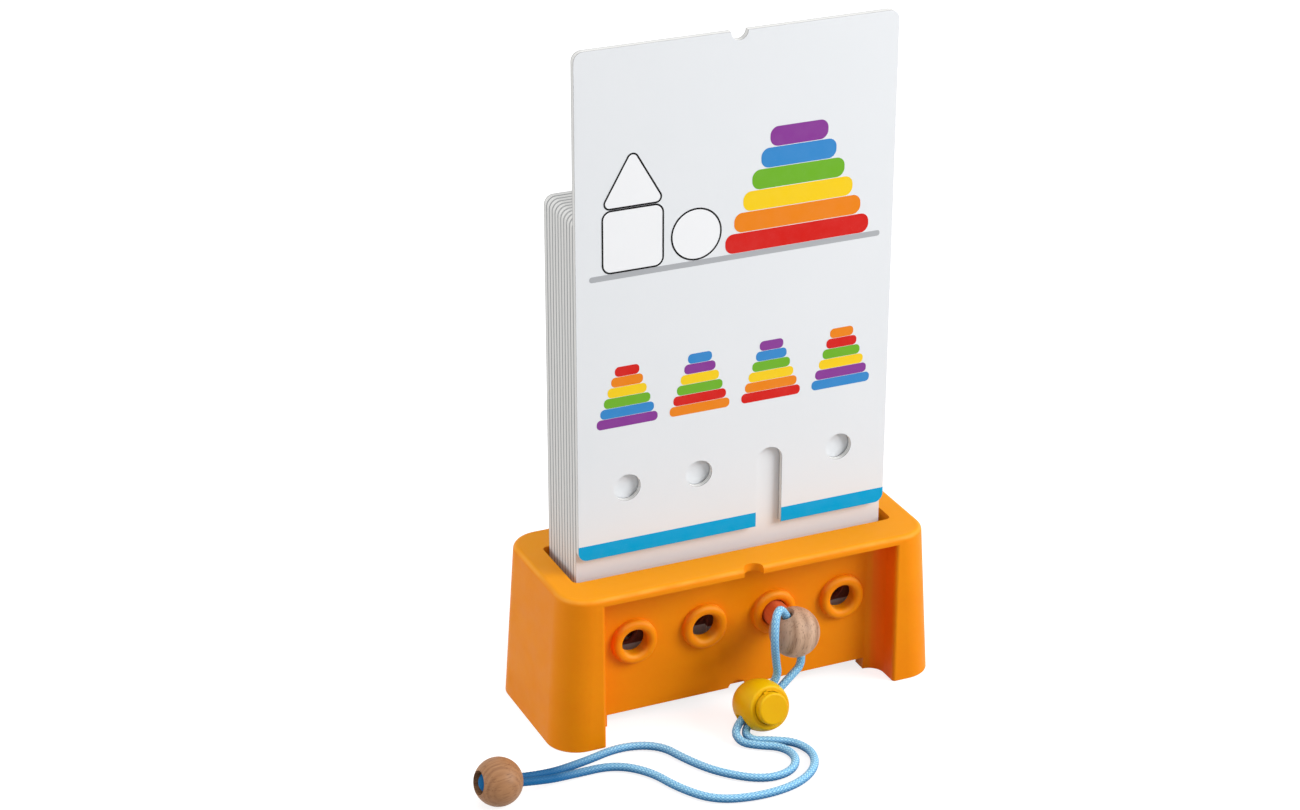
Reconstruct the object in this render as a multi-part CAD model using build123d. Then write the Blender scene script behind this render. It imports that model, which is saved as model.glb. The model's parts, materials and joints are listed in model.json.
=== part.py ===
"""Logic case puzzle game: a moulded card holder, answer cards, and a wooden peg on a cord.

The holder is one orange moulding, open underneath. Cards stand in the slot in its top. Four round
holes in its front panel take the peg, which blocks the front card unless it stands in the right hole,
because there the card has a slot that is open at the bottom. A braided cord runs through the peg's
ball and a cord lock to an end bead.

Millimetres, +Z up. The origin is the centre of the holder's footprint, on the table. The front panel
faces -Y.
"""
import math
import os

from build123d import *

# Holder, outside
TOP_W = 125.0
TOP_D = 52.0
BASE_W = 132.0
BASE_D = 53.0
HOLDER_H = 51.5
CORNER_R = 10.0
RIM_ROUND = 1.8
WALL = 2.0
DECK_T = 2.6

# Front recess between the two pillars, and its panel
RECESS_W = 100.0
RECESS_ROUND = 5.0
PILLAR_ROUND = 1.0
PANEL_Y = -15.0
PANEL_FOOT = 4.0
NOTCH_R = 3.3
FOOT_NOTCH_SINK = 1.0

# Card pocket and the ribs behind it
SLOT_W = 109.5
SLOT_BACK_Y = 13.6
SLOT_ROUND = 2.0
POCKET_FLOOR_T = 2.5
RIB_COUNT = 3
RIB_SPACING = 36.0
RIB_T = 1.8

# Answer holes, in the panel and in every card
HOLE_COUNT = 4
HOLE_PITCH = 24.0
HOLE_Z = 28.7
HOLE_R = 4.3
COLLAR_W = 3.2
COLLAR_REACH = 1.0

# Cards
CARD_COUNT = 11
CARD_W = 104.6
CARD_H = 162.0
CARD_T = 2.0
CARD_GAP = 0.2
CARD_ROUND = 3.0
CARD_NOTCH_R = 2.8
CARD_HOLE_R = 4.4
FRONT_CARD_LIFT = 50.8
FRONT_SEAT = 4.3

# Peg
PEG_HOLE = HOLE_COUNT - 2
DOWEL_R = 4.0
DOWEL_CHAMFER = 0.6
DOWEL_SEAT = 3.2
BALL_R = 8.0
BALL_Y = -30.5
GLUE_GAP = 0.02

# Cord
CORD_R = 1.35
CORD_PAIR = 2.8
CORD_GAP = 0.1
BORE_R = 1.75
BORE_TILT = 23.0
MOUTH_FLARE = 1.3
ARC_SHARE = 0.45

# Cord lock: its centre, the way its button points, and the way the cord leaves it
LOCK_CENTRE = Vector(-1.9, -35.4, 8.5)
BUTTON_WAY = Vector(0.075, -0.951, 0.302)
CORD_WAY = Vector(-0.82, -0.19, -0.54)
LOCK_R = 8.2
LOCK_BACK = 7.4
LOCK_BACK_R = 5.8
LOCK_FRONT = 6.4
LOCK_FRONT_R = 6.8
LOCK_ROUND = 0.8
LOCK_BACK_WALL = 1.2
BUTTON_R = 5.1
BUTTON_FIT = 0.2
BUTTON_REACH = 2.6
BUTTON_TAIL = 3.3
BUTTON_TRAVEL = 2.0
BUTTON_ROUND = 0.7
KEY_TURN = -111.0
KEY_W = 1.2
KEY_REACH = 0.5
KEY_INSIDE = 1.5
KEY_OUTSIDE = 0.8
SPRING_WELL = 0.9
SPRING_R = 3.2
SPRING_WIRE_R = 0.25
SPRING_TURNS = 3
SPRING_SEAT_GAP = 0.05

# End bead
BEAD_R = 7.5
BEAD_CENTRE = Vector(-92.3, -43.0, BEAD_R)
BEAD_WAY = Vector(-0.978, -0.047, 0.201)
BEAD_BORE_R = 2.95
KNOT_R = 3.4
KNOT_SEAT_R = 3.7
KNOT_SEAT_DEPTH = 8.0

# Values worked out from the ones above
SLOT_FRONT_Y = PANEL_Y + WALL
FLOOR_Z = PANEL_FOOT + POCKET_FLOOR_T
HOLE_XS = [(i - (HOLE_COUNT - 1) / 2) * HOLE_PITCH for i in range(HOLE_COUNT)]
CARD_PITCH = CARD_T + CARD_GAP
STACK_Y = SLOT_FRONT_Y + FRONT_SEAT
FRONT_CARD_Y = STACK_Y - CARD_PITCH
BALL_CENTRE = Vector(HOLE_XS[PEG_HOLE], BALL_Y, HOLE_Z)
BORE_WAY = Vector(-math.sin(math.radians(BORE_TILT)), 0, math.cos(math.radians(BORE_TILT)))
LOCK_PLANE = Plane(origin=LOCK_CENTRE, x_dir=CORD_WAY - BUTTON_WAY * (CORD_WAY.dot(BUTTON_WAY)
                   / BUTTON_WAY.dot(BUTTON_WAY)), z_dir=BUTTON_WAY)
KNOT_FACE = BEAD_R - KNOT_SEAT_DEPTH + KNOT_R / 2
BEAD_PLANE = Plane(origin=BEAD_CENTRE, x_dir=(0, 1, 0), z_dir=BEAD_WAY)


def tapered_block(inset, low, high):
    """The holder's outer form, taken in by inset on all sides, from height low to height high."""
    def section(z):
        share = z / HOLDER_H
        width = BASE_W + (TOP_W - BASE_W) * share - 2 * inset
        depth = BASE_D + (TOP_D - BASE_D) * share - 2 * inset
        return Pos(0, 0, z) * RectangleRounded(width, depth, CORNER_R - inset)

    return loft([section(low), section(high)], ruled=True)


def recess_block():
    """The hollow between the pillars, below the lip, in front of the panel."""
    height = HOLDER_H - DECK_T
    block = Pos(0, PANEL_Y - BASE_D / 2, height / 2) * Box(RECESS_W, BASE_D, height)
    corners = block.edges().filter_by(Axis.Z).group_by(Axis.Y)[-1]
    return fillet(corners, RECESS_ROUND)


def slot_block(grow, floor_z):
    """A block over the card slot's outline, grown on all sides, from floor_z up past the rim."""
    depth = SLOT_BACK_Y - SLOT_FRONT_Y + 2 * grow
    outline = RectangleRounded(SLOT_W + 2 * grow, depth, SLOT_ROUND + grow)
    return extrude(Pos(0, (SLOT_BACK_Y + SLOT_FRONT_Y) / 2, floor_z) * outline, HOLDER_H)


def make_collar():
    """The round bead about an answer hole, standing on the panel with its axis on Z."""
    outer_r = HOLE_R + COLLAR_W
    top_z = COLLAR_REACH + COLLAR_W / 2
    profile = make_face([
        Line((HOLE_R, -WALL / 2), (HOLE_R, COLLAR_REACH)),
        ThreePointArc((HOLE_R, COLLAR_REACH), (HOLE_R + COLLAR_W / 2, top_z), (outer_r, COLLAR_REACH)),
        Line((outer_r, COLLAR_REACH), (outer_r, -WALL / 2)),
        Line((outer_r, -WALL / 2), (HOLE_R, -WALL / 2)),
    ])
    return revolve(Plane.XZ * profile, Axis.Z)


def make_holder():
    """The one-piece moulding: skin, deck, pocket, pillars, ribs, notches and collared holes."""
    form = tapered_block(0, 0, HOLDER_H)
    form = fillet(form.faces().sort_by(Axis.Z)[-1].edges(), RIM_ROUND)
    form -= recess_block()
    recess_edges = [
        edge for edge in form.edges()
        if abs(abs(edge.center().X) - RECESS_W / 2) < 0.01
        and edge.length > HOLDER_H / 2
    ]
    pillar_edges = ShapeList(recess_edges).group_by(Axis.Y)[0]
    form = fillet(pillar_edges, PILLAR_ROUND)

    cavity = tapered_block(WALL, 0, HOLDER_H - DECK_T)
    cavity -= slot_block(WALL, PANEL_FOOT)
    pillar_wall_d = BASE_D / 2 + SLOT_FRONT_Y
    for side in (-1, 1):
        wall_x = side * (RECESS_W + WALL) / 2
        cavity -= Pos(wall_x, (SLOT_FRONT_Y - BASE_D / 2) / 2, HOLDER_H / 2) * Box(WALL, pillar_wall_d, HOLDER_H)
        gusset = Pos(wall_x - side * RECESS_ROUND / 2, PANEL_Y, HOLDER_H / 2) * Box(
            WALL + RECESS_ROUND, 2 * RECESS_ROUND, HOLDER_H)
        cavity -= gusset
    rib_d = BASE_D / 2 - SLOT_BACK_Y
    for i in range(RIB_COUNT):
        rib_x = (i - (RIB_COUNT - 1) / 2) * RIB_SPACING
        rib_z = (HOLDER_H + PANEL_FOOT) / 2
        cavity -= Pos(rib_x, SLOT_BACK_Y + rib_d / 2, rib_z) * Box(RIB_T, rib_d, HOLDER_H - PANEL_FOOT)
    holder = form - cavity - slot_block(0, FLOOR_Z)

    holder -= Pos(0, -TOP_D / 2, HOLDER_H) * Cylinder(NOTCH_R, 4 * DECK_T)
    foot_notch = Pos(0, PANEL_Y, PANEL_FOOT - FOOT_NOTCH_SINK) * Rot(90, 0, 0) * Cylinder(NOTCH_R, 2 * WALL)
    holder -= foot_notch
    for x in HOLE_XS:
        seat = Plane(origin=(x, PANEL_Y, HOLE_Z), x_dir=(1, 0, 0), z_dir=(0, -1, 0))
        holder += seat * make_collar()
        holder -= seat * Cylinder(HOLE_R, 3 * WALL)
    return holder


def make_card(number):
    """A card that stands in the slot; number 0 is the front one, lifted over its seat."""
    plate = extrude(RectangleRounded(CARD_W, CARD_H, CARD_ROUND), CARD_T)
    hole_row = HOLE_Z - FLOOR_Z - CARD_H / 2
    for x in HOLE_XS:
        plate -= Pos(x, hole_row) * Cylinder(CARD_HOLE_R, 4 * CARD_T)
    open_hole = (PEG_HOLE + (HOLE_COUNT - 1) * number) % HOLE_COUNT
    slot_h = HOLE_Z - FLOOR_Z
    slot_y = -CARD_H / 2 + slot_h / 2
    plate -= Pos(HOLE_XS[open_hole], slot_y) * Box(2 * CARD_HOLE_R, slot_h, 4 * CARD_T)
    plate -= Pos(0, CARD_H / 2) * Cylinder(CARD_NOTCH_R, 4 * CARD_T)
    lift = FRONT_CARD_LIFT if number == 0 else 0
    back_y = FRONT_CARD_Y + number * CARD_PITCH + CARD_T
    return Plane(origin=(0, back_y, FLOOR_Z + lift + CARD_H / 2), x_dir=(1, 0, 0), z_dir=(0, -1, 0)) * plate


def make_dowel():
    """The painted pin, which reaches as far as the front card's back and is glued into the ball."""
    tip_y = FRONT_CARD_Y + CARD_T
    end_y = BALL_Y + BALL_R - DOWEL_SEAT
    pin = Cylinder(DOWEL_R, tip_y - end_y)
    pin = chamfer(pin.edges().group_by(Axis.Z)[-1], DOWEL_CHAMFER)
    middle = Plane(origin=(BALL_CENTRE.X, (tip_y + end_y) / 2, HOLE_Z), x_dir=(1, 0, 0), z_dir=(0, 1, 0))
    return middle * pin


def flared_bore(ball_r, bore_r):
    """A bore along Z through a ball, with both of its mouths flared."""
    bore = Cylinder(bore_r, 3 * ball_r)
    for side in (-1, 1):
        mouth = Plane(origin=(0, 0, side * (ball_r - MOUTH_FLARE)), z_dir=(0, 0, side))
        flare = Cone(bore_r, bore_r + 2 * MOUTH_FLARE, 2 * MOUTH_FLARE,
                     align=(Align.CENTER, Align.CENTER, Align.MIN))
        bore += mouth * flare
    return bore


def make_ball():
    """The peg's wooden ball: a blind seat for the dowel and a cross bore for the cord."""
    bored = Sphere(BALL_R) - flared_bore(BALL_R, BORE_R)
    ball = Plane(origin=BALL_CENTRE, x_dir=(0, -1, 0), z_dir=BORE_WAY) * bored
    seat_end = BALL_Y + BALL_R - DOWEL_SEAT - GLUE_GAP
    seat = Plane(origin=(BALL_CENTRE.X, seat_end, HOLE_Z), z_dir=(0, 1, 0)) * Cylinder(
        DOWEL_R + GLUE_GAP, BALL_R, align=(Align.CENTER, Align.CENTER, Align.MIN))
    return ball - seat


def lock_point(along_cord, side):
    """A point on one of the two cord lines through the lock, side -1 or 1."""
    return LOCK_PLANE.from_local_coords(Vector(along_cord, side * CORD_PAIR / 2, 0))


def cord_slot(low_z, high_z, length):
    """An oblong passage along X for the pair of cords, from low_z to high_z."""
    width = CORD_PAIR + 2 * (CORD_R + CORD_GAP)
    return Pos(0, 0, (low_z + high_z) / 2) * Box(length, width, high_z - low_z)


def lock_key(radius, width, low_z, high_z):
    """A bar out to a radius in the lock's frame, turned to where the button's guide lug stands."""
    bar = Box(radius, width, high_z - low_z, align=(Align.MIN, Align.CENTER, Align.MIN))
    return Rot(0, 0, KEY_TURN) * Pos(0, 0, low_z) * bar


def make_lock_body():
    """The cord lock's barrel: a blind well with a groove for the button, and flared cord passages."""
    profile = make_face([
        Line((0, -LOCK_BACK), (LOCK_BACK_R, -LOCK_BACK)),
        ThreePointArc((LOCK_BACK_R, -LOCK_BACK), (LOCK_R, 0), (LOCK_FRONT_R, LOCK_FRONT)),
        Line((LOCK_FRONT_R, LOCK_FRONT), (0, LOCK_FRONT)),
        Line((0, LOCK_FRONT), (0, -LOCK_BACK)),
    ])
    barrel = revolve(Plane.XZ * profile, Axis.Z)
    barrel = fillet(barrel.edges().filter_by(GeomType.CIRCLE), LOCK_ROUND)
    well_bottom = -LOCK_BACK + LOCK_BACK_WALL
    well = Pos(0, 0, well_bottom) * Cylinder(
        BUTTON_R + BUTTON_FIT, 3 * LOCK_FRONT, align=(Align.CENTER, Align.CENTER, Align.MIN))
    groove_end = LOCK_FRONT - KEY_INSIDE - BUTTON_TRAVEL - BUTTON_FIT
    well += lock_key(BUTTON_R + KEY_REACH + BUTTON_FIT, KEY_W + 2 * BUTTON_FIT, groove_end, 2 * LOCK_FRONT)
    reach = CORD_R + CORD_GAP
    passage = cord_slot(-reach, reach, 3 * LOCK_R)
    for side in (-1, 1):
        inner = Plane(origin=(side * (LOCK_R - MOUTH_FLARE), 0, 0), x_dir=(0, 1, 0), z_dir=(side, 0, 0))
        small = inner * Rectangle(CORD_PAIR + 2 * reach, 2 * reach)
        large = inner.offset(2 * MOUTH_FLARE) * Rectangle(
            CORD_PAIR + 2 * reach + 4 * MOUTH_FLARE, 2 * reach + 4 * MOUTH_FLARE)
        passage += loft([small, large])
    return LOCK_PLANE * (barrel - well - passage)


def make_lock_button():
    """The sprung button with its guide lug; its slot pinches the cords until it is pressed in."""
    face_z = LOCK_FRONT + BUTTON_REACH
    button = Pos(0, 0, (face_z - BUTTON_TAIL) / 2) * Cylinder(BUTTON_R, face_z + BUTTON_TAIL)
    button = fillet(button.edges().group_by(Axis.Z)[-1], BUTTON_ROUND)
    button += lock_key(BUTTON_R + KEY_REACH, KEY_W, LOCK_FRONT - KEY_INSIDE, LOCK_FRONT + KEY_OUTSIDE)
    reach = CORD_R + CORD_GAP
    button -= cord_slot(-reach, reach + BUTTON_TRAVEL, 3 * BUTTON_R)
    spring_well = Pos(0, 0, -BUTTON_TAIL) * Cylinder(SPRING_R + 2 * SPRING_WIRE_R + BUTTON_FIT, 2 * SPRING_WELL)
    return LOCK_PLANE * (button - spring_well)


def make_lock_spring():
    """The coil spring between the button's tail and the bottom of the well, as one tube."""
    low = -LOCK_BACK + LOCK_BACK_WALL + SPRING_WIRE_R + SPRING_SEAT_GAP
    high = -BUTTON_TAIL + SPRING_WELL - SPRING_WIRE_R - SPRING_SEAT_GAP
    pitch = (high - low) / SPRING_TURNS
    print("spring: least gap between curls", round(pitch - 2 * SPRING_WIRE_R, 2))
    coil = Pos(0, 0, low) * Helix(pitch=pitch, height=high - low, radius=SPRING_R)
    start = Plane(origin=coil @ 0, z_dir=coil % 0)
    return LOCK_PLANE * sweep(start * Circle(SPRING_WIRE_R), path=coil)


def make_bead():
    """The end bead: one bore for both cords, widened at its far end into a seat for the knot."""
    bead = Sphere(BEAD_R) - flared_bore(BEAD_R, BEAD_BORE_R)
    knot_seat = Pos(0, 0, BEAD_R - KNOT_SEAT_DEPTH) * Cylinder(
        KNOT_SEAT_R, BEAD_R, align=(Align.CENTER, Align.CENTER, Align.MIN))
    return BEAD_PLANE * (bead - knot_seat)


def make_knot():
    """The knot that ties the two ends together, pulled down into the bead's seat."""
    knot = Pos(0, 0, BEAD_R - KNOT_SEAT_DEPTH + KNOT_R) * Sphere(KNOT_R)
    trim = Pos(0, 0, KNOT_FACE) * Box(
        4 * KNOT_R, 4 * KNOT_R, KNOT_R, align=(Align.CENTER, Align.CENTER, Align.MAX))
    return BEAD_PLANE * (knot - trim)


def cord_tube(name, points, held_start, held_end):
    """A round cord along a hand-set route: straight runs joined by arcs as large as the runs allow.

    The first run stays straight for held_start, where the cord is inside a bore, and the last run for
    held_end.
    """
    points = [Vector(point) for point in points]
    runs = [(end - start).length for start, end in zip(points, points[1:])]
    usable = [ARC_SHARE * run for run in runs]
    usable[0] = runs[0] - held_start
    usable[-1] = runs[-1] - held_end
    radii = []
    for i in range(1, len(points) - 1):
        turn = math.radians((points[i] - points[i - 1]).get_angle(points[i + 1] - points[i]))
        radii.append(min(usable[i - 1], usable[i]) / math.tan(turn / 2))
    path = FilletPolyline(*points, radius=radii)
    tube = sweep(Plane(origin=path @ 0, z_dir=path % 0) * Circle(CORD_R), path=path)
    share = tube.volume / (math.pi * CORD_R ** 2 * path.length)
    print(f"{name}: length {path.length:.1f}, volume share {share:.4f}, radii", [round(r, 1) for r in radii])
    return tube


def bead_point(along_bore, side):
    """A point on one of the two cord lines through the end bead, side -1 or 1."""
    return BEAD_PLANE.from_local_coords(Vector(side * CORD_PAIR / 2, 0, along_bore))


def make_cords():
    """The cord's four free stretches: ball to lock twice, and lock to end bead twice."""
    in_ball = BALL_R - MOUTH_FLARE / 2
    in_lock = LOCK_R - MOUTH_FLARE
    in_bead = BEAD_R + KNOT_FACE - MOUTH_FLARE
    on_table = CORD_R
    drop_left = [
        BALL_CENTRE,
        BALL_CENTRE + BORE_WAY * 10.4,
        BALL_CENTRE + Vector(-8.4, -3.7, 10.2),
        BALL_CENTRE + Vector(-10.2, -6.7, 2.5),
        BALL_CENTRE + Vector(-8.1, -3.7, -6.4),
        lock_point(-10.2, -1),
        lock_point(0, -1),
    ]
    drop_right = [
        BALL_CENTRE,
        BALL_CENTRE - BORE_WAY * 11.6,
        lock_point(-11.4, 1),
        lock_point(0, 1),
    ]
    inner_strand = [
        lock_point(0, -1),
        lock_point(11.5, -1),
        (-12.2, -42.4, on_table),
        (-8.2, -46.3, on_table),
        (-1.3, -50.2, on_table),
        (0.1, -57.8, on_table),
        (-5.5, -64.8, on_table),
        (-15.5, -65.0, on_table),
        (-25.9, -55.6, on_table),
        (-31.6, -45.0, on_table),
        (-35.5, -34.0, on_table),
        (-47.0, -29.8, on_table),
        (-62.0, -34.0, on_table),
        bead_point(-14.0, 1),
        bead_point(KNOT_FACE, 1),
    ]
    outer_strand = [
        lock_point(0, 1),
        lock_point(9.5, 1),
        (-8.6, -42.9, on_table),
        (-3.0, -45.3, on_table),
        (3.8, -49.4, on_table),
        (6.0, -57.9, on_table),
        (1.3, -66.7, on_table),
        (-8.2, -72.2, on_table),
        (-21.2, -73.1, on_table),
        (-33.5, -69.5, on_table),
        (-40.5, -59.0, on_table),
        (-44.5, -47.0, on_table),
        (-53.0, -39.0, on_table),
        (-66.0, -38.9, on_table),
        bead_point(-14.0, -1),
        bead_point(KNOT_FACE, -1),
    ]
    return {
        "cord_drop_left": cord_tube("cord_drop_left", drop_left, in_ball, in_lock),
        "cord_drop_right": cord_tube("cord_drop_right", drop_right, in_ball, in_lock),
        "cord_strand_inner": cord_tube("cord_strand_inner", inner_strand, in_lock, in_bead),
        "cord_strand_outer": cord_tube("cord_strand_outer", outer_strand, in_lock, in_bead),
    }


def main():
    parts = {"holder": make_holder()}
    for number in range(CARD_COUNT):
        parts[f"card_{number + 1:02d}"] = make_card(number)
    parts["peg_dowel"] = make_dowel()
    parts["peg_ball"] = make_ball()
    parts["cord_lock_body"] = make_lock_body()
    parts["cord_lock_button"] = make_lock_button()
    parts["cord_lock_spring"] = make_lock_spring()
    parts["end_bead"] = make_bead()
    parts["cord_knot"] = make_knot()
    parts.update(make_cords())
    os.makedirs("parts", exist_ok=True)
    for name, shape in parts.items():
        export_step(shape, f"parts/{name}.step")


main()
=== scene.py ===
# %% [markdown]
# # Logic case puzzle game
#
# This lesson dresses a packed CAD model of a puzzle game: an orange card case with a lifted card, and a wooden
# peg on a braided cord. The CAD model is the fixed frame. Each step adds looks in the same metres and axes:
# +Z is up and the case's front panel faces -Y.

# %% Load the frame
import json
import math

import bmesh
import bpy
import numpy as np
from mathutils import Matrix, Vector


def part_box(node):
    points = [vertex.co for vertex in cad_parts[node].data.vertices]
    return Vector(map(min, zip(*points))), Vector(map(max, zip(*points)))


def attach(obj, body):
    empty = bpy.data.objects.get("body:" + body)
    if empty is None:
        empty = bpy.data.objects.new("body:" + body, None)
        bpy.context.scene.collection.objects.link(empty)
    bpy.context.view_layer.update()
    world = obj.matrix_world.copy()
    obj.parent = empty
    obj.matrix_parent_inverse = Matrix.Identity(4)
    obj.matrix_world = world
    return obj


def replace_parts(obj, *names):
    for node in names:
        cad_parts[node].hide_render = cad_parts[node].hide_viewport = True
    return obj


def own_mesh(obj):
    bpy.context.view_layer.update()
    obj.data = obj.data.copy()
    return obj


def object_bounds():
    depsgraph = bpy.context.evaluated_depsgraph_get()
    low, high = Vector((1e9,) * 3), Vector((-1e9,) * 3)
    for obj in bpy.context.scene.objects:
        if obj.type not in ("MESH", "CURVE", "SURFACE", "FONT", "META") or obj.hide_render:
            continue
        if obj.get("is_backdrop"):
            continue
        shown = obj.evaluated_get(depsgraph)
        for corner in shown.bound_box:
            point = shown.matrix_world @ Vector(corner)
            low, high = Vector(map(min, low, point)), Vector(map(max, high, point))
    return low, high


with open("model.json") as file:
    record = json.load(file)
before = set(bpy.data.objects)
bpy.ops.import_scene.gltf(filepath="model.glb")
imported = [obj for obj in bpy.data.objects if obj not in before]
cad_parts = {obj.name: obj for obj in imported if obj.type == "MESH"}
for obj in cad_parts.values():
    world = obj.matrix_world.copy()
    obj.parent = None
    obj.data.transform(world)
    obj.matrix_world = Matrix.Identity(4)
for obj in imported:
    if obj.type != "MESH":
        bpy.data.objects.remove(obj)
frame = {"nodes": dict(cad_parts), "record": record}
cad_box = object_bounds()
nodes = frame["nodes"]
MM = 0.001


# %% [markdown]
# ## Building shaders
#
# Every finish is a node tree on a Principled shader. It could be built by hand in the shader editor, but a script
# gives the same tree each time. These helpers add a node with its inputs in one call. An input that is a socket is
# linked, and any other is set as a constant.

# %% Shader helpers
class Finish:
    """A material under construction, with short calls for the nodes that the finishes use."""

    def __init__(self, name, **constants):
        self.material = bpy.data.materials.new(name)
        self.material.use_nodes = True
        self.tree = self.material.node_tree
        self.shader = self.tree.nodes["Principled BSDF"]
        self.wire(**constants)

    def wire(self, **sockets):
        """Links or sets inputs of the shader itself."""
        for socket, value in sockets.items():
            self.connect(value, self.shader.inputs[socket.replace("_", " ")])
        return self.material

    def connect(self, value, socket):
        if isinstance(value, bpy.types.NodeSocket):
            self.tree.links.new(value, socket)
        else:
            socket.default_value = value

    def add(self, kind, output=0, inputs=(), **settings):
        node = self.tree.nodes.new("ShaderNode" + kind)
        for key, value in settings.items():
            setattr(node, key, value)
        for slot, value in dict(inputs).items():
            self.connect(value, node.inputs[slot])
        return node.outputs[output]

    def place(self):
        return self.add("TexCoord", "Object")

    def axis(self, vector, name):
        return self.add("SeparateXYZ", name, {0: vector})

    def facing(self, name):
        """How far the surface faces along an axis, from -1 to 1."""
        return self.axis(self.add("NewGeometry", "Normal"), name)

    def stretched(self, vector, scale):
        return self.add("Mapping", inputs={"Vector": vector, "Scale": scale})

    def noise(self, vector, scale, detail=3, roughness=0.5):
        settings = {"Vector": vector, "Scale": scale, "Detail": detail, "Roughness": roughness}
        return self.add("TexNoise", "Fac", settings)

    def math(self, operation, a, b=0.0, c=0.0):
        return self.add("Math", inputs={0: a, 1: b, 2: c}, operation=operation)

    def times(self, first, *others):
        for other in others:
            first = self.math("MULTIPLY", first, other)
        return first

    def fade(self, value, low, high, to_low=0.0, to_high=1.0):
        return self.add("MapRange", inputs={0: value, 1: low, 2: high, 3: to_low, 4: to_high})

    def band(self, value, rise, fall):
        """1 between a soft start and a soft end, and 0 outside them."""
        return self.times(self.fade(value, *rise), self.fade(value, *fall, 1.0, 0.0))

    def mix(self, share, a, b, blend="MIX"):
        return self.add("MixRGB", inputs={"Fac": share, "Color1": a, "Color2": b}, blend_type=blend)

    def bump(self, height, distance, strength=1.0, below=None):
        settings = {"Height": height, "Distance": distance, "Strength": strength}
        if below:
            settings["Normal"] = below
        return self.add("Bump", inputs=settings)


print("calls of a finish:", ", ".join(name for name in vars(Finish) if not name.startswith("_")))


# %% Colours and pieces
def rgb(red, green, blue):
    """A screen colour out of 255 as a linear shader colour."""
    linear = [((c / 255 + 0.055) / 1.055) ** 2.4 if c > 10 else c / 255 / 12.92 for c in (red, green, blue)]
    return (*linear, 1.0)


def wear(piece, material):
    """Gives the whole piece one finish."""
    piece.data.materials.clear()
    piece.data.materials.append(material)
    return piece


def place_in_scene(name, data):
    """A new object that shows a mesh, a curve, a lamp or a camera."""
    thing = bpy.data.objects.new(name, data)
    bpy.context.collection.objects.link(thing)
    return thing


WHITE = rgb(255, 255, 255)
print("half of screen white is", round(rgb(128, 128, 128)[0], 3), "of its light")


# %% [markdown]
# ## Moulded plastic
#
# The case is satin polypropylene. A photograph of plastic could be wrapped around it, but nodes need no unwrapping
# and stay sharp close up. The colour drifts a little over large areas, where the melt flowed, and the spark-eroded
# mould left a fine grain, which a bump reads from two noises. Painted light makes the faces that look up lighter
# and yellower, and a painted highlight, broken up by noise, runs along the rounded edges: both are read from how
# far the surface faces up. In the front recess, painted shade makes the pillars' cheeks, which face another orange
# wall, deeper and redder. The cord lock is the same kind of plastic in yellow.

# %% Painted shade on the pillars' cheeks
CHEEK_ACROSS = (0.0445, 0.0455), (0.054, 0.056)
CHEEK_DEPTH = (-0.0265, -0.024), (-0.0157, -0.0151)
CHEEK_SHARE = 0.85


def cheeks(finish, place):
    """The share of the painted shade, on what faces sideways between the soft limits of the cheeks, in metres."""
    share = finish.fade(finish.math("ABSOLUTE", finish.facing("X")), 0.05, 0.8, 0.0, CHEEK_SHARE)
    across = finish.band(finish.math("ABSOLUTE", finish.axis(place, "X")), *CHEEK_ACROSS)
    return finish.times(share, across, finish.band(finish.axis(place, "Y"), *CHEEK_DEPTH))


print("cheeks up to", round(CHEEK_ACROSS[1][1] / MM), "mm from the middle")


# %% Plastic on the case and the cord lock
def moulded(name, light, dark, top, painted_cheek_shade, edge, roughness, grain):
    finish = Finish(name, Specular_IOR_Level=0.12, Subsurface_Weight=0.08, Subsurface_Scale=0.002)
    place = finish.place()
    flow = finish.fade(finish.noise(finish.stretched(place, (1, 1, 2.5)), 28), 0.35, 0.65)
    colour = finish.mix(finish.times(flow, 0.55), light, dark)
    speck = finish.mix(finish.noise(place, 900, 2), rgb(0, 0, 0), WHITE)
    colour = finish.mix(0.05, colour, speck, "OVERLAY")
    # Painted shade: the pillars' cheeks in the front recess get the deeper, redder colour.
    colour = finish.mix(cheeks(finish, place), colour, painted_cheek_shade)
    up = finish.facing("Z")
    # Painted light: faces that look up are mixed towards the lighter, yellower top colour.
    colour = finish.mix(finish.fade(up, 0.6, 0.98), colour, top)
    # Painted highlight: the rounded edges, which face partly up, are mixed towards the paler edge colour, broken up
    # by noise.
    painted_shading_share = finish.fade(finish.noise(place, 120, 4), 0.35, 0.6, 0.15, 0.4)
    colour = finish.mix(finish.times(finish.band(up, (0.3, 0.6), (0.8, 0.97)), painted_shading_share), colour, edge)
    worn = finish.fade(finish.noise(place, 160, 4, 0.6), 0.3, 0.7, roughness - 0.05, roughness + 0.07)
    broad = finish.bump(finish.noise(place, 60), 0.00012, 0.25)
    fine = finish.bump(finish.noise(place, 2600, 2), grain, 0.5, broad)
    return finish.wire(Base_Color=colour, Roughness=worn, Normal=fine)


# The top, cheek and edge colours are painted light: lighter on faces that look up, shade on the pillars' cheeks,
# and a highlight along the rounded edges.
wear(nodes["holder"], moulded(
    "orange_polypropylene", light=rgb(243, 143, 3), dark=rgb(237, 133, 2), top=rgb(243, 154, 12),
    painted_cheek_shade=rgb(250, 104, 8), edge=rgb(255, 190, 84), roughness=0.48, grain=0.00003))
yellow = moulded(
    "yellow_lock_plastic", light=rgb(232, 178, 2), dark=rgb(220, 158, 1), top=rgb(238, 192, 3),
    painted_cheek_shade=rgb(220, 158, 1), edge=rgb(250, 214, 60), roughness=0.4, grain=0.00002)
for part in ("cord_lock_body", "cord_lock_button"):
    wear(nodes[part], yellow)
print("plastic on holder, cord_lock_body and cord_lock_button")
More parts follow.
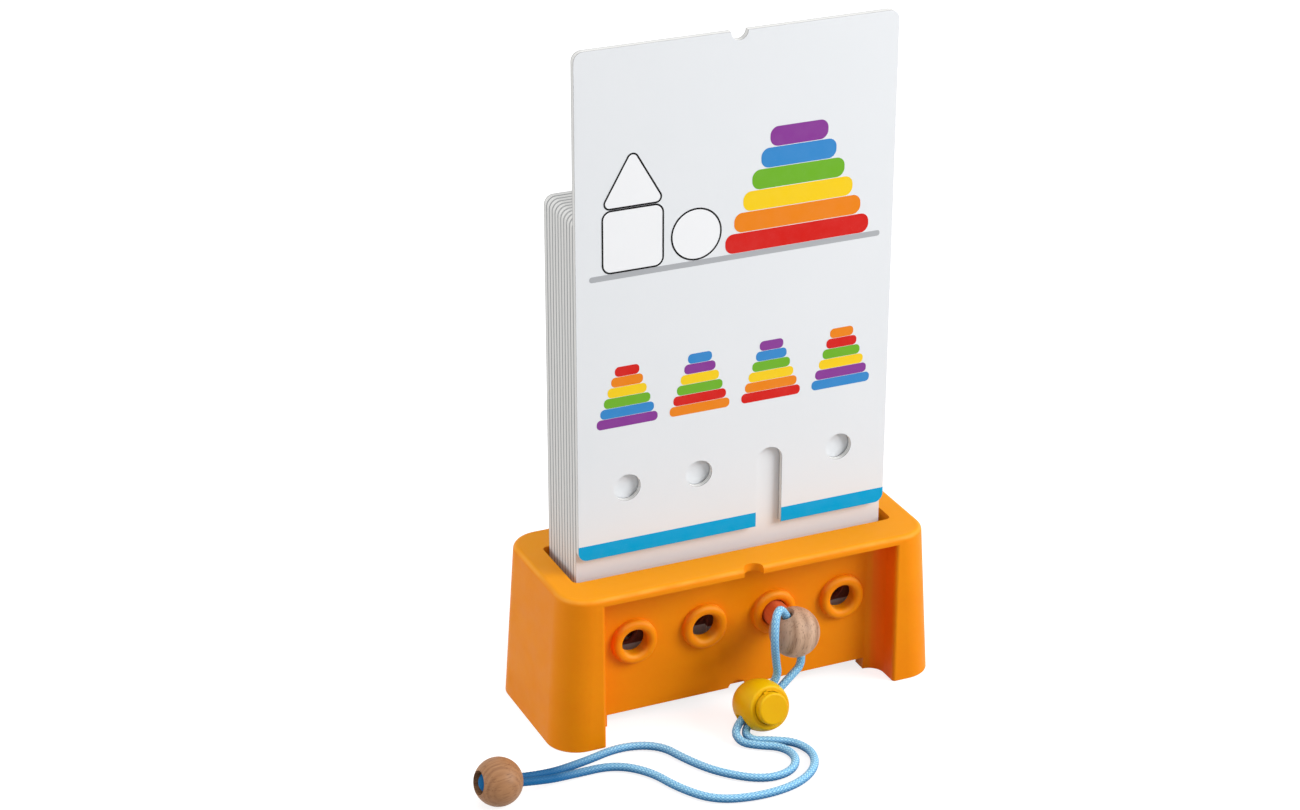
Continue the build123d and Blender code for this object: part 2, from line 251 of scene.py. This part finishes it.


# %% [markdown]
# ## Card stock
#
# The cards are thick laminated board. Their faces are smooth and bright, and their edges show the plies as fine
# lines, with painted shade along both sides, where the gaps between the cards fall, that draws each card in the
# stack. The plies could be modelled as thin sheets, but they are far finer than the card. So the finish reads them
# from the card's thickness, which runs along Y. In the stack, painted shade darkens the board at the holes to a
# dark brown. This finish colours the whole band of board at the holes' height. The case hides the band while a
# card is down, but it shows once the card is lifted: rings round the holes would be truer.

# %% Sizes of the cards
cards = sorted(name for name in nodes if name.startswith("card_"))
first_low, first_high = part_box(cards[0])
CARD_T = first_high[1] - first_low[1]
CARD_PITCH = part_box(cards[1])[0][1] - first_low[1]
PLY_T = 0.35 * MM
HOLE_HEIGHTS = (0.0238, 0.0242), (0.0332, 0.0336)
HOLES_REACH = 0.045
print("card", round(CARD_T / MM, 2), "mm, pitch", round(CARD_PITCH / MM, 2), "mm")


# %% Card finishes
def card_edge(finish, place, ply):
    """Light and darker plies with a wandering stain, and painted shade where the gaps between the cards fall."""
    middle = first_low[1] + CARD_T / 2
    from_middle = finish.math("DIVIDE", finish.math("SUBTRACT", finish.axis(place, "Y"), middle), CARD_PITCH)
    # Painted shade: a grey line at both faces of each card, where the gaps between the cards fall.
    card_gap_shade = finish.fade(finish.math("PINGPONG", from_middle, 0.5), 0.26, 0.44)
    stain = finish.noise(finish.stretched(place, (1, 40, 0.4)), 60, 4)
    edge = finish.mix(finish.fade(ply, 0.1, 0.7), rgb(216, 216, 214), rgb(240, 240, 238))
    edge = finish.mix(finish.fade(stain, 0.35, 0.65, 0.0, 0.5), edge, rgb(228, 228, 226))
    return finish.mix(finish.times(card_gap_shade, 0.85), edge, rgb(126, 126, 126))


def card_stock(name, painted_shading_share):
    """Board whose band at the holes' height gets a dark brown painted shade by a share from 0 to 1."""
    finish = Finish(name, Specular_IOR_Level=0.4, Sheen_Weight=0.05)
    place = finish.place()
    ply = finish.math("PINGPONG", finish.times(finish.axis(place, "Y"), 1 / PLY_T), 1.0)
    # Painted shade: the board at the holes' height goes dark brown, on its edges and its faces.
    painted_hole_shade = finish.times(
        finish.band(finish.axis(place, "Z"), *HOLE_HEIGHTS),
        finish.math("LESS_THAN", finish.math("ABSOLUTE", finish.axis(place, "X")), HOLES_REACH), painted_shading_share)
    edge = finish.mix(painted_hole_shade, card_edge(finish, place, ply), rgb(150, 76, 56))
    face = finish.mix(finish.noise(place, 45, 4), rgb(229, 232, 235), rgb(233, 235, 238))
    face = finish.mix(painted_hole_shade, face, rgb(128, 72, 56))
    is_face = finish.fade(finish.math("ABSOLUTE", finish.facing("Y")), 0.6, 0.8)
    fibre = finish.noise(finish.stretched(place, (1, 1, 0.3)), 1600, 3)
    return finish.wire(
        Base_Color=finish.mix(is_face, edge, face), Roughness=finish.fade(is_face, 0, 1, 0.8, 0.42),
        Normal=finish.bump(finish.mix(is_face, ply, fibre), 0.00004, 0.3))


clean_board = card_stock("white_card_board", 0.0)
hole_shaded_board = card_stock("white_card_board_hole_shade", 1.0)
for name in cards:
    wear(nodes[name], clean_board if name == cards[0] else hole_shaded_board)
print("board on", len(cards), "cards")


# %% [markdown]
# ## Card print
#
# The print on the front card is flat ink. It could be painted in the board's shader, but shapes with clean edges
# are easier to lay down as thin faces just in front of the card, one ink for each colour. The picture is a plain
# puzzle: a tower of coloured bars beside white building blocks, with four small towers as answers above the
# holes. Only the tower over the open slot has its bars in the right order.

# %% Inks
def ink(name, colour):
    finish = Finish(name, Specular_IOR_Level=0.08)
    place = finish.place()
    cover = finish.noise(place, 240, 4)
    tooth = finish.noise(place, 2200, 3)
    shade = finish.mix(finish.fade(cover, 0.3, 0.7, 0.0, 0.012), colour, WHITE)
    shade = finish.mix(finish.fade(tooth, 0.62, 0.75, 0.0, 0.04), shade, rgb(240, 240, 240))
    gloss = finish.fade(cover, 0.3, 0.7, 0.36, 0.46)
    return finish.wire(Base_Color=shade, Roughness=gloss, Normal=finish.bump(tooth, 0.00001, 0.3))


INKS = {
    "red": rgb(214, 34, 28), "orange": rgb(238, 134, 28), "yellow": rgb(248, 208, 32), "green": rgb(112, 178, 44),
    "blue": rgb(58, 138, 204), "purple": rgb(138, 62, 150), "black": rgb(24, 22, 24), "grey": rgb(176, 178, 182),
    "white": rgb(244, 245, 247), "cyan": rgb(0, 164, 220),
}
inks = {name: ink("ink_" + name, colour) for name, colour in INKS.items()}
print("inks:", ", ".join(inks))


# %% Outlines
def arc(x, z, radius, start, end, steps=8):
    turns = np.radians(np.linspace(start, end, steps + 1))
    return [(x + radius * math.cos(a), z + radius * math.sin(a)) for a in turns]


def rounded_box(x, z, width, height, radius):
    """A box outline about (x, z), counterclockwise as the card's reader sees it."""
    points = []
    for quarter, (right, up) in enumerate(((1, 1), (-1, 1), (-1, -1), (1, -1))):
        centre = (x + right * (width / 2 - radius), z + up * (height / 2 - radius))
        points += arc(*centre, radius, 90 * quarter, 90 * quarter + 90)
    return points


def rounded_triangle(x, z, reach, radius):
    """A triangle with its tip up, whose corners are arcs that stand at a reach from its middle."""
    points = []
    for start in (30, 150, 270):
        away = math.radians(start + 60)
        points += arc(x + reach * math.cos(away), z + reach * math.sin(away), radius, start, start + 120)
    return points


print("points:", len(rounded_box(0, 0, 2, 2, 1)), "on a box,", len(rounded_triangle(0, 0, 2, 1)), "on a triangle")

# %% Laying ink on a card
INK_IN_FRONT = 0.03 * MM
LINE_IN_FRONT = 0.02
BAR_SHRINK = 0.12
BAR_HEIGHT, BAR_ROUND = 0.97, 0.42


class CardPrint:
    """Thin ink faces on one card, placed in millimetres from the middle of its lower edge."""

    def __init__(self, card):
        low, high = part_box(card)
        self.origin = Vector(((low[0] + high[0]) / 2, low[1] - INK_IN_FRONT, low[2]))
        self.card = card
        self.form = bmesh.new()
        self.used = []

    def spot(self, x, z, forward=0.0):
        return self.form.verts.new(self.origin + Vector((x, -forward, z)) * MM)

    def slot_of(self, colour):
        if colour not in self.used:
            self.used.append(colour)
        return self.used.index(colour)

    def fill(self, outline, colour):
        self.form.faces.new([self.spot(x, z) for x, z in outline]).material_index = self.slot_of(colour)

    def line(self, outer, inner, colour):
        """A closed line between two outlines with as many points, a hair in front of the fills."""
        outside = [self.spot(x, z, LINE_IN_FRONT) for x, z in outer]
        inside = [self.spot(x, z, LINE_IN_FRONT) for x, z in inner]
        for i in range(len(outer)):
            after = (i + 1) % len(outer)
            face = self.form.faces.new([outside[i], outside[after], inside[after], inside[i]])
            face.material_index = self.slot_of(colour)

    def tower(self, x, foot, width, bar, colours):
        """Rounded bars on top of each other, each shorter than the one below."""
        for level, colour in enumerate(colours):
            span = width * (1 - BAR_SHRINK * level)
            middle = foot + bar * (level + 0.5)
            self.fill(rounded_box(x, middle, span, bar * BAR_HEIGHT, bar * BAR_ROUND), colour)

    def finish(self, body):
        mesh = bpy.data.meshes.new(self.card + "_print")
        self.form.to_mesh(mesh)
        for colour in self.used:
            mesh.materials.append(inks[colour])
        piece = place_in_scene(self.card + "_print", mesh)
        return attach(piece, body)


print("ink", round(INK_IN_FRONT / MM, 2), "mm in front of the board")

# %% The stripe and the picture
CARD_HALF_W = 52.3
CARD_CORNER_R = 3.0
STRIPE_H = 4.9
SLOT_HALF_W = 4.4
HOLE_XS = (-36, -12, 12, 36)
COLOURS = ("red", "orange", "yellow", "green", "blue", "purple")
ANSWERS = (COLOURS[::-1], ("orange", "red", "green", "yellow", "purple", "blue"), COLOURS,
           ("blue", "purple", "yellow", "green", "red", "orange"))
ANSWER_Z, ANSWER_W, ANSWER_BAR = 43.0, 20, 3.3
GROUND_Z, GROUND_W, GROUND_T, GROUND_R = 92.0, 96, 1.8, 0.8
TOWER_X, TOWER_W, TOWER_BAR = 20, 48, 6.4
BLOCK_X, BLOCK_W, BLOCK_R = -34, 20, 3
ROOF_Z, ROOF_REACH, ROOF_R = GROUND_Z + 27.2, 8.5, 2
ROUND_X, ROUND_R = -13.5, 8.3
LINE_W = 0.55


def stripe(sheet, slot_x):
    """The band along the lower edge, on both sides of the card's open slot."""
    for side in (-1, 1):
        corner = (side * (CARD_HALF_W - CARD_CORNER_R), CARD_CORNER_R)
        inner = slot_x + side * SLOT_HALF_W
        ends = [(inner, 0), (inner, STRIPE_H)]
        top = [(side * CARD_HALF_W, STRIPE_H)]
        if side < 0:
            sheet.fill(arc(*corner, CARD_CORNER_R, 180, 270) + ends + top, "cyan")
        else:
            sheet.fill(arc(*corner, CARD_CORNER_R, 270, 360) + top + ends[::-1], "cyan")


def picture(sheet):
    """The ground line, the tower, a block with its roof, a round one, and the four answers."""
    floor_z = GROUND_Z + GROUND_T / 2
    sheet.fill(rounded_box(0, GROUND_Z, GROUND_W, GROUND_T, GROUND_R), "grey")
    sheet.tower(TOWER_X, floor_z, TOWER_W, TOWER_BAR, COLOURS)
    block = (BLOCK_X, floor_z + BLOCK_W / 2)
    inner_w = BLOCK_W - 2 * LINE_W
    outline = rounded_box(*block, BLOCK_W, BLOCK_W, BLOCK_R)
    sheet.fill(outline, "white")
    sheet.line(outline, rounded_box(*block, inner_w, inner_w, BLOCK_R - LINE_W), "black")
    outline = rounded_triangle(BLOCK_X, ROOF_Z, ROOF_REACH, ROOF_R)
    sheet.fill(outline, "white")
    sheet.line(outline, rounded_triangle(BLOCK_X, ROOF_Z, ROOF_REACH, ROOF_R - LINE_W), "black")
    middle = (ROUND_X, floor_z + ROUND_R)
    sheet.fill(arc(*middle, ROUND_R, 0, 350, 35), "white")
    sheet.line(arc(*middle, ROUND_R, 0, 352, 44), arc(*middle, ROUND_R - LINE_W, 0, 352, 44), "black")
    for x, order in zip(HOLE_XS, ANSWERS):
        sheet.tower(x, ANSWER_Z, ANSWER_W, ANSWER_BAR, order)


body_of = {node: body for body, held in frame["record"]["behaviour"]["bodies"].items() for node in held}
for number, card in enumerate(cards):
    sheet = CardPrint(card)
    stripe(sheet, HOLE_XS[(2 + 3 * number) % 4])
    if card == cards[0]:
        picture(sheet)
    sheet.finish(body_of[card])
print("prints on", len(cards), "cards")


# %% [markdown]
# ## Turned wood
#
# Turned wood shows growth rings as soft darker bands, and fine dark fibres along the grain. An image would have to
# be wrapped around a ball and would stretch at its poles. Rings in space run through the piece as they do in wood:
# a ring is a distance from the log's pith, bent a little by noise. Both round pieces were cut far from the pith.
# It lies to one side of the ball, so its rings pass upright, and behind the end bead, so its rings close into flat
# ovals. The pin is painted, and the grain shows through only a little.

# %% Wood finishes
def turned_wood(name, pith, grain, ring, light, dark, roughness=0.5, streak=0.7, bend=0.7, contrast=0.8):
    """Wood from a log whose pith passes through a point along the grain. The point and the ring are in mm."""
    finish = Finish(name, Specular_IOR_Level=0.35)
    lie = Vector(grain).to_track_quat("Z", "Y").to_euler()
    log = finish.add("Mapping", inputs={"Vector": finish.place(), "Location": Vector(pith) * MM, "Rotation": lie},
                     vector_type="TEXTURE")
    spread = finish.add("VectorMath", "Value", {0: finish.stretched(log, (1, 1, 0))}, operation="LENGTH")
    sway = finish.noise(finish.stretched(log, (1, 1, 0.4)), 90, 2)
    rings = finish.math("MULTIPLY_ADD", sway, bend, finish.math("DIVIDE", spread, ring * MM))
    strong = finish.fade(finish.noise(finish.stretched(log, (1, 1, 0.2)), 170, 2), 0.35, 0.65, 0.15, contrast)
    late = finish.times(finish.math("POWER", finish.math("PINGPONG", rings, 0.5), 1.4), 2.4, strong)
    colour = finish.mix(late, light, dark)
    fibre = finish.noise(finish.stretched(log, (1, 1, 0.06)), 1900, 4, 0.65)
    colour = finish.mix(finish.fade(fibre, 0.52, 0.7, 0.0, streak), colour, dark, "MULTIPLY")
    pale = finish.noise(finish.stretched(log, (1, 1, 0.1)), 800, 3)
    colour = finish.mix(finish.fade(pale, 0.5, 0.72, 0.0, 0.4), colour, light)
    normal = finish.bump(finish.math("MULTIPLY_ADD", late, -0.12, fibre), 0.00003, 0.35)
    rough = finish.fade(fibre, 0.3, 0.7, roughness - 0.08, roughness + 0.08)
    return finish.wire(Base_Color=colour, Roughness=rough, Normal=normal)


wear(nodes["peg_ball"], turned_wood(
    "beech_ball", pith=(71, -36.5, 20), grain=(0.14, 0, 0.99), ring=3.9, light=rgb(202, 166, 138),
    dark=rgb(126, 86, 58), contrast=1.0))
wear(nodes["end_bead"], turned_wood(
    "beech_bead", pith=(-89.8, -18.1, 5.3), grain=(0.98, -0.05, 0.15), ring=1.15, light=rgb(170, 122, 82),
    dark=rgb(112, 66, 38), streak=0.5, bend=1.6, contrast=0.6))
wear(nodes["peg_dowel"], turned_wood(
    "painted_dowel", pith=(30, 0, 28), grain=(0, 1, 0), ring=3.4, light=rgb(224, 118, 70),
    dark=rgb(202, 92, 50), roughness=0.42, streak=0.2))
print("wood on peg_ball, end_bead and peg_dowel")


# %% [markdown]
# ## Spring wire
#
# The cord lock's spring is hidden in the barrel. The button presses it shorter. It could be drawn again as a
# curve, but the solid is the right coil already, so a copy of its mesh stands for it.

# %% Spring
LOCK = Vector((-1.9, -35.4, 8.5))
BUTTON_WAY = Vector((0.075, -0.951, 0.302)).normalized()
steel = Finish("drawn_spring_steel", Metallic=1.0, Anisotropic=0.4)
drawn = steel.noise(steel.stretched(steel.place(), (0.1, 1, 1)), 4000, 2)
steel.wire(Base_Color=steel.mix(drawn, rgb(150, 152, 156), rgb(196, 198, 202)),
           Roughness=steel.fade(drawn, 0, 1, 0.25, 0.45))
coil = place_in_scene("lock_spring_coil", nodes["cord_lock_spring"].data.copy())
wear(coil, steel.material)
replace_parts(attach(coil, "peg"), "cord_lock_spring")
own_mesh(coil)


# %% [markdown]
# ## The braided cord
#
# One cord runs from the ball to the knot on each side. Its middle line is a NURBS spline whose control points
# are the route's points. A plain tube with a braid painted on would look flat up close, so around the line goes a
# mesh tube with two crossing families of strands in relief: where they cross, they take turns on top. The cord is
# dyed light blue, with one family of strands a darker tone. Painted shade darkens the valleys between the strands
# and a painted highlight lightens their tops. The cord is darker over the last 50 mm before the bead, and painted
# shade deepens the sides that face down, most where the cord lies on the table.

# %% Cord routes
BALL = Vector((12, -30.5, 28.7))
BORE_TILT = math.radians(23)
BORE_WAY = Vector((-math.sin(BORE_TILT), 0, math.cos(BORE_TILT)))
CORD_WAY = Vector((-0.82, -0.19, -0.54))
CORD_WAY = (CORD_WAY - BUTTON_WAY * CORD_WAY.dot(BUTTON_WAY)).normalized()
LOCK_SIDE = BUTTON_WAY.cross(CORD_WAY)
BEAD = Vector((-92.3, -43.0, 7.5))
BEAD_WAY = Vector((-0.978, -0.047, 0.201)).normalized()
BEAD_SIDE = Vector((0, 1, 0))
BEAD_SIDE = (BEAD_SIDE - BEAD_WAY * BEAD_SIDE.dot(BEAD_WAY)).normalized()
CORD_R = 1.35
HALF_PAIR = 1.4


def in_lock(along, side):
    return LOCK + CORD_WAY * along + LOCK_SIDE * side * HALF_PAIR


def in_bead(along, side):
    return BEAD + BEAD_WAY * along + BEAD_SIDE * side * HALF_PAIR


def on_table(*spots):
    return [Vector((x, y, CORD_R)) for x, y in spots]


inner_route = [
    BALL, BALL + BORE_WAY * 10.4, Vector((3.6, -34.2, 38.9)), Vector((1.8, -37.2, 31.2)),
    Vector((3.9, -34.2, 22.3)), in_lock(-10.2, -1), in_lock(0, -1), in_lock(11.5, -1),
    *on_table((-12.2, -42.4), (-8.2, -46.3), (-1.3, -50.2), (0.1, -57.8), (-5.5, -64.8), (-15.5, -65.0),
              (-25.9, -55.6), (-31.6, -45.0), (-35.5, -34.0), (-47.0, -29.8), (-62.0, -34.0)),
    in_bead(-14.0, 1), in_bead(1.2, 1),
]
outer_route = [
    BALL, BALL - BORE_WAY * 11.6, in_lock(-11.4, 1), in_lock(0, 1), in_lock(9.5, 1),
    *on_table((-8.6, -42.9), (-3.0, -45.3), (3.8, -49.4), (6.0, -57.9), (1.3, -66.7), (-8.2, -72.2),
              (-21.2, -73.1), (-33.5, -69.5), (-40.5, -59.0), (-44.5, -47.0), (-53.0, -39.0), (-66.0, -38.9)),
    in_bead(-14.0, -1), in_bead(1.2, -1),
]
print("route points:", len(inner_route), len(outer_route))


# %% The cord's middle line
def spline_points(route):
    """Points along the smooth NURBS curve whose control points are the route's."""
    curve = bpy.data.curves.new("route", "CURVE")
    curve.dimensions = "3D"
    spline = curve.splines.new("NURBS")
    spline.points.add(len(route) - 1)
    for point, spot in zip(spline.points, route):
        point.co = (*(spot * MM), 1)
    spline.order_u = 3
    spline.use_endpoint_u = True
    spline.resolution_u = 24
    holder = place_in_scene("route", curve)
    line = bpy.data.meshes.new_from_object(holder)
    points = np.array([v.co for v in line.vertices])
    bpy.data.objects.remove(holder)
    return points


def evenly(points, step):
    """The same line with its points a step apart, and the length up to each."""
    reach = np.concatenate([[0], np.cumsum(np.linalg.norm(np.diff(points, axis=0), axis=1))])
    marks = np.linspace(0, reach[-1], int(reach[-1] / step) + 1)
    return np.stack([np.interp(marks, reach, points[:, axis]) for axis in range(3)], 1), marks


def frames_along(points):
    """Two directions square to the line at each point, which don't twist around it."""
    ways = np.gradient(points, axis=0)
    ways /= np.linalg.norm(ways, axis=1)[:, None]
    side = np.cross(ways[0], [0, 0, 1])
    sides = []
    for way in ways:
        side = side - way * side.dot(way)
        side /= np.linalg.norm(side)
        sides.append(side)
    sides = np.array(sides)
    return sides, np.cross(ways, sides)


print("inner line of", len(spline_points(inner_route)), "points")

# %% The braid around it
STEP = 0.16 * MM
AROUND = 40
CARRIERS = 8
BRAID_PITCH = 5.2 * MM
VALLEY, STRAND_RISE = 0.84, 0.12
UNDER_SHADE = 0.76
DEEP_END = 0.05


def braid_height(along, turn):
    """The relief, 0 to 1, of two strand families that wind opposite ways, and which of them is on top."""
    one = CARRIERS * turn + along / BRAID_PITCH * CARRIERS / 2
    other = CARRIERS * turn - along / BRAID_PITCH * CARRIERS / 2
    top_one = (np.floor(one) + np.floor(other)) % 2 == 0
    return np.where(top_one, np.sin(np.pi * (one % 1)), np.sin(np.pi * (other % 1))) ** 0.6, top_one


def braided_cord(name, route):
    points, marks = evenly(spline_points(route), STEP)
    sides, ups = frames_along(points)
    turn = np.arange(AROUND) / AROUND
    relief, top_one = braid_height(marks[:, None], turn[None, :])
    radius = CORD_R * MM * (VALLEY + STRAND_RISE * relief)
    ring = np.cos(2 * np.pi * turn)[None, :, None] * sides[:, None, :]
    ring = ring + np.sin(2 * np.pi * turn)[None, :, None] * ups[:, None, :]
    spots = points[:, None, :] + ring * radius[:, :, None]
    rows = len(points)
    corner = np.arange(AROUND)
    after = (corner + 1) % AROUND
    start = (np.arange(rows - 1) * AROUND)[:, None]
    quads = np.stack([start + corner, start + after, start + AROUND + after, start + AROUND + corner], 2)
    ends = [corner[::-1].tolist(), (corner + (rows - 1) * AROUND).tolist()]
    mesh = bpy.data.meshes.new(name)
    mesh.from_pydata(spots.reshape(-1, 3).tolist(), [], [*quads.reshape(-1, 4).tolist(), *ends])
    strand = relief * np.where(top_one, 1.0, UNDER_SHADE)
    to_bead = np.clip(np.repeat((marks[-1] - marks) / DEEP_END, AROUND), 0, 1)
    for label, values in (("strand", strand.reshape(-1)), ("to_bead", to_bead)):
        mesh.attributes.new(label, "FLOAT", "POINT").data.foreach_set("value", values.astype(np.float32))
    mesh.shade_smooth()
    return place_in_scene(name, mesh), points, marks[-1]


print("braid of", 2 * CARRIERS, "strands, pitch", round(BRAID_PITCH / MM, 1), "mm")

# %% Dyed braid
braid = Finish("light_blue_braid", Specular_IOR_Level=0.15)
height = braid.add("Attribute", "Fac", attribute_name="strand")
yarn = braid.noise(braid.place(), 5000, 2)
# Painted shade in the valleys between the strands and a painted highlight on their tops; the second family of
# strands is a darker tone.
shade = braid.mix(braid.fade(height, 0.2, 0.95), rgb(30, 138, 208), rgb(190, 240, 255))
shade = braid.mix(braid.fade(yarn, 0.4, 0.65, 0.0, 0.25), shade, rgb(128, 190, 236))
# Darker over the last 50 mm before the bead.
to_bead = braid.add("Attribute", "Fac", attribute_name="to_bead")
shade = braid.mix(braid.fade(to_bead, 0.4, 1.0, 0.95, 0.0), shade, rgb(0, 84, 134))
# Painted shade: the sides that face down go deeper blue, most where the cord lies on the table.
painted_shade_near_table = braid.fade(braid.axis(braid.place(), "Z"), 0.004, 0.012, 0.85, 0.4)
painted_shade_facing_down = braid.fade(braid.facing("Z"), -0.2, 0.8, 1.0, 0.0)
shade = braid.mix(braid.times(painted_shade_near_table, painted_shade_facing_down), shade, rgb(8, 104, 166))
braid.wire(Base_Color=shade, Roughness=braid.fade(height, 0, 1, 0.7, 0.42), Normal=braid.bump(yarn, 0.00004, 0.5))
wear(nodes["cord_knot"], braid.material)
print("braid on cord_knot")

# %% Both sides of the cord
for name, route, stretches in (
    ("cord_inner", inner_route, ("cord_drop_left", "cord_strand_inner")),
    ("cord_outer", outer_route, ("cord_drop_right", "cord_strand_outer")),
):
    piece, path, length = braided_cord(name, route)
    wear(piece, braid.material)
    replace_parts(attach(piece, "peg"), *stretches)
    print(name, "length", round(length / MM), "mm")


# %% [markdown]
# ## Stage, lights and camera
#
# A white floor and a white sky hold the object. More light would make them white too, but would bleach the object.
# So both glow more for rays that come from the camera, also by way of a glossy or clear surface, and the floor
# keeps a faint shadow. Three soft discs light the object: a key from the right of the front, a fill from the left
# and one from above. The camera stands where the photograph was taken: its place and turn come from a fit to the
# corners of the case and the cards.

# %% Stage
FLOOR_HALF_W = 3
FLOOR_DROP = 0.2 * MM
FLOOR_GLOW = 0.78
SKY_LIGHT, SKY_SEEN = 0.47, 1.0


def seen(tree):
    """1 for a ray from the camera, also by way of a glossy or a clear surface, and 0 for any other."""
    path = tree.nodes.new("ShaderNodeLightPath")
    total = path.outputs["Is Camera Ray"]
    for kind in ("Is Glossy Ray", "Is Transmission Ray"):
        larger = tree.nodes.new("ShaderNodeMath")
        larger.operation = "MAXIMUM"
        tree.links.new(total, larger.inputs[0])
        tree.links.new(path.outputs[kind], larger.inputs[1])
        total = larger.outputs[0]
    return total


ground = bpy.data.meshes.new("floor")
corners = [(x * FLOOR_HALF_W, y * FLOOR_HALF_W, 0) for x, y in ((-1, -1), (1, -1), (1, 1), (-1, 1))]
ground.from_pydata(corners, [], [(0, 1, 2, 3)])
floor = place_in_scene("floor", ground)
floor.location.z = -FLOOR_DROP
paper = Finish("floor_paper", Roughness=0.9, Base_Color=rgb(174, 174, 174), Specular_IOR_Level=0.1)
paper.wire(Emission_Color=WHITE, Emission_Strength=paper.times(seen(paper.tree), FLOOR_GLOW))
wear(floor, paper.material)
floor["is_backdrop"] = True

world = bpy.data.worlds.new("studio")
world.use_nodes = True
bpy.context.scene.world = world
sky = world.node_tree
background = sky.nodes["Background"]
background.inputs["Color"].default_value = (1, 1, 1, 1)
level = sky.nodes.new("ShaderNodeMapRange")
level.inputs["To Min"].default_value = SKY_LIGHT
level.inputs["To Max"].default_value = SKY_SEEN
sky.links.new(seen(sky), level.inputs["Value"])
sky.links.new(level.outputs["Result"], background.inputs["Strength"])
print("sky lights the object at", SKY_LIGHT, "and is seen at", SKY_SEEN)


# %% Lights
def soft_light(name, spot, aim, size, power):
    lamp = bpy.data.lights.new(name, "AREA")
    lamp.shape = "DISK"
    lamp.size = size
    lamp.energy = power
    stand = place_in_scene(name, lamp)
    stand.location = spot
    stand.rotation_euler = (Vector(aim) - Vector(spot)).to_track_quat("-Z", "Y").to_euler()
    print(name, "light of", power, "W")


soft_light("key", (0.85, -0.75, 0.68), (0, 0, 0.08), 0.8, 13.7)
soft_light("fill", (-1.15, 0.1, 0.3), (0, 0, 0.08), 1.0, 5.2)
soft_light("top", (-0.1, 0.1, 1.2), (0, 0, 0.05), 0.9, 3.4)

# %% Camera
SENSOR_W = 36
PHOTO_W, FOCAL_IN_PIXELS = 1300, 3000
camera = bpy.data.cameras.new("camera")
camera.sensor_width = SENSOR_W
camera.lens = SENSOR_W * FOCAL_IN_PIXELS / PHOTO_W
camera.clip_start = 0.01
viewer = place_in_scene("camera", camera)
viewer.location = (-0.363048, -0.762286, 0.480534)
viewer.rotation_euler = (math.radians(65.5), 0, math.radians(-24))
bpy.context.scene.camera = viewer
bpy.context.scene.view_settings.view_transform = "Standard"
print("lens", round(camera.lens, 1), "mm")

# %% Finish
corners = {"cad": cad_box, "visual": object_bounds()}
